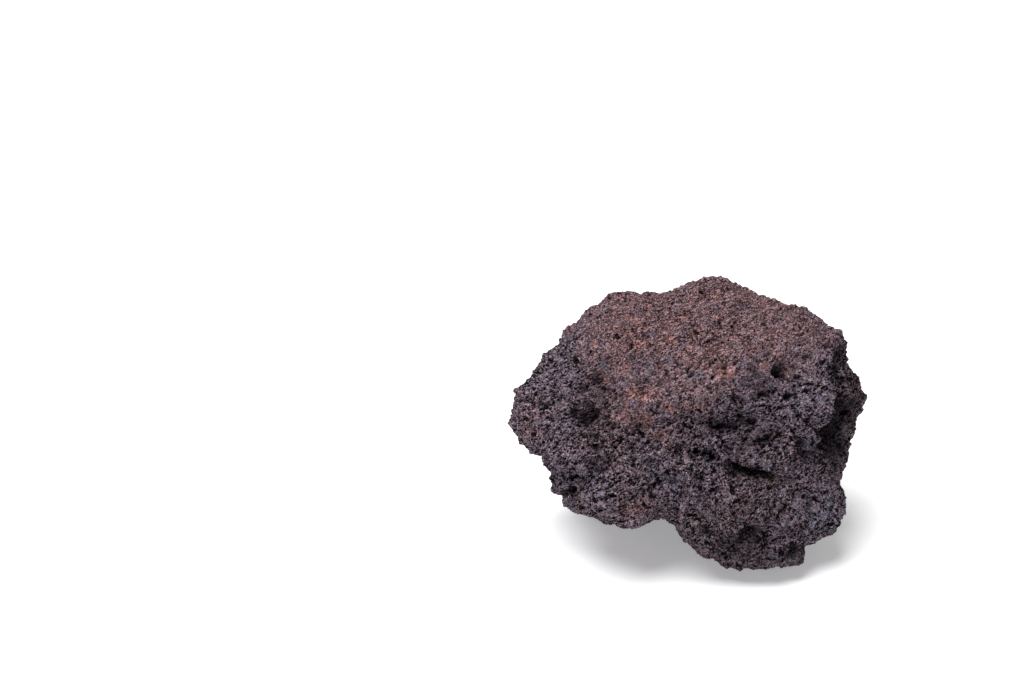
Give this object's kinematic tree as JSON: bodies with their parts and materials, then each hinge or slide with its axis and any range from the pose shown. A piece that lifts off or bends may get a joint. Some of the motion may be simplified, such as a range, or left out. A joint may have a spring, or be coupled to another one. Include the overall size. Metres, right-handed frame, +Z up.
{
  "type": "lava rock",
  "caption": "Loose chunk of porous lava rock with a broad reddish top, a steep pitted front, overhanging lobes and a rough back, standing on flat patches of its underside.",
  "frame": {"origin": "centre of the bounding box, at the floor that the rock stands on", "axes": "+Z up, +X along the rock's length, towards the end with the steep ridge, and -Y towards the broad pitted face"},
  "size_m": [0.1775, 0.1197, 0.129],
  "materials": {
    "scoria": "rough, dull and porous; dark purple-grey, rust brown on top"
  },
  "bodies": {
    "root": {"lava_rock": "scoria"}
  },
  "joints": []
}
